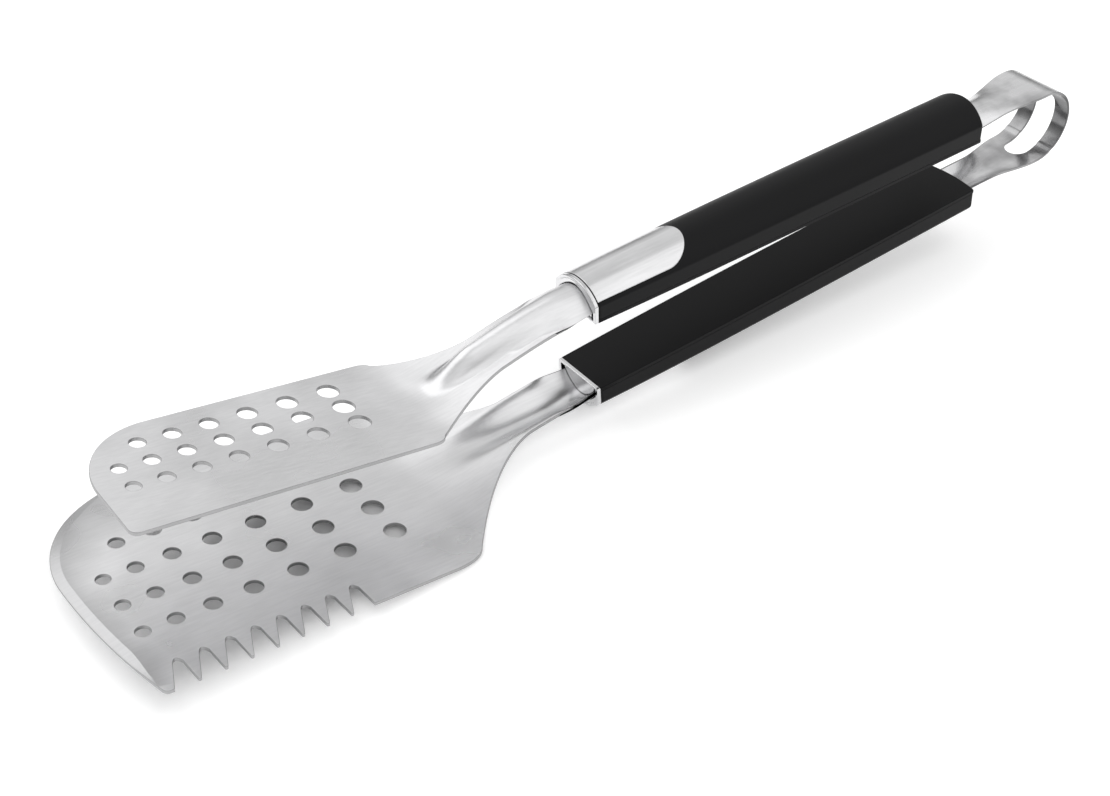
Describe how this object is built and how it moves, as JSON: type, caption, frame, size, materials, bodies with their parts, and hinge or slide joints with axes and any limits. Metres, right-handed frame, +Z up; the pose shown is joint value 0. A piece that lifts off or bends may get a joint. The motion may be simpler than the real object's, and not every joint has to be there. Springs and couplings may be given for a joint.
{
  "type": "spring loaded kitchen tongs",
  "caption": "Long spring loaded tongs with a wide serrated perforated spatula head below, a narrower perforated head above, black grips and a bent spring loop that serves as a hanging eye.",
  "frame": {"origin": "on the surface that the tongs stand on, under the middle of their bounding box", "axes": "+X along the tongs from the heads to the spring loop, +Z up, -Y the side with the saw teeth"},
  "size_m": [0.4452, 0.0962, 0.0644],
  "materials": {
    "stamped_steel": "satin brushed stainless steel",
    "cap_steel": "bright polished stainless steel",
    "spring_steel": "satin spring-tempered stainless strip",
    "grip_black": "soft-touch satin black",
    "core_plastic": "moulded black nylon",
    "fastener_steel": "plain stainless steel"
  },
  "bodies": {
    "lower_half": {"lower_arm": "stamped_steel", "lower_front_cap": "cap_steel", "lower_end_plate": "cap_steel", "lower_grip_shell": "grip_black", "lower_inner_cover": "grip_black", "lower_core": "core_plastic", "lower_core_screws": "fastener_steel", "lower_spring_rivets": "fastener_steel", "spring_loop": "spring_steel"},
    "upper_half": {"upper_arm": "stamped_steel", "upper_front_cap": "cap_steel", "upper_end_plate": "cap_steel", "upper_grip_shell": "grip_black", "upper_inner_cover": "grip_black", "upper_core": "core_plastic", "upper_core_screws": "fastener_steel", "upper_spring_rivets": "fastener_steel"}
  },
  "joints": [
    {"name": "squeeze", "type": "hinge", "parent": "lower_half", "child": "upper_half", "pos_m": [0.20659, 0, 0.04146], "axis": [0, -1, 0], "range_deg": [-5, 5.6], "stiffness_Nm_per_rad": 20, "springref_deg": -1.04, "deforming": ["spring_loop"]}
  ]
}
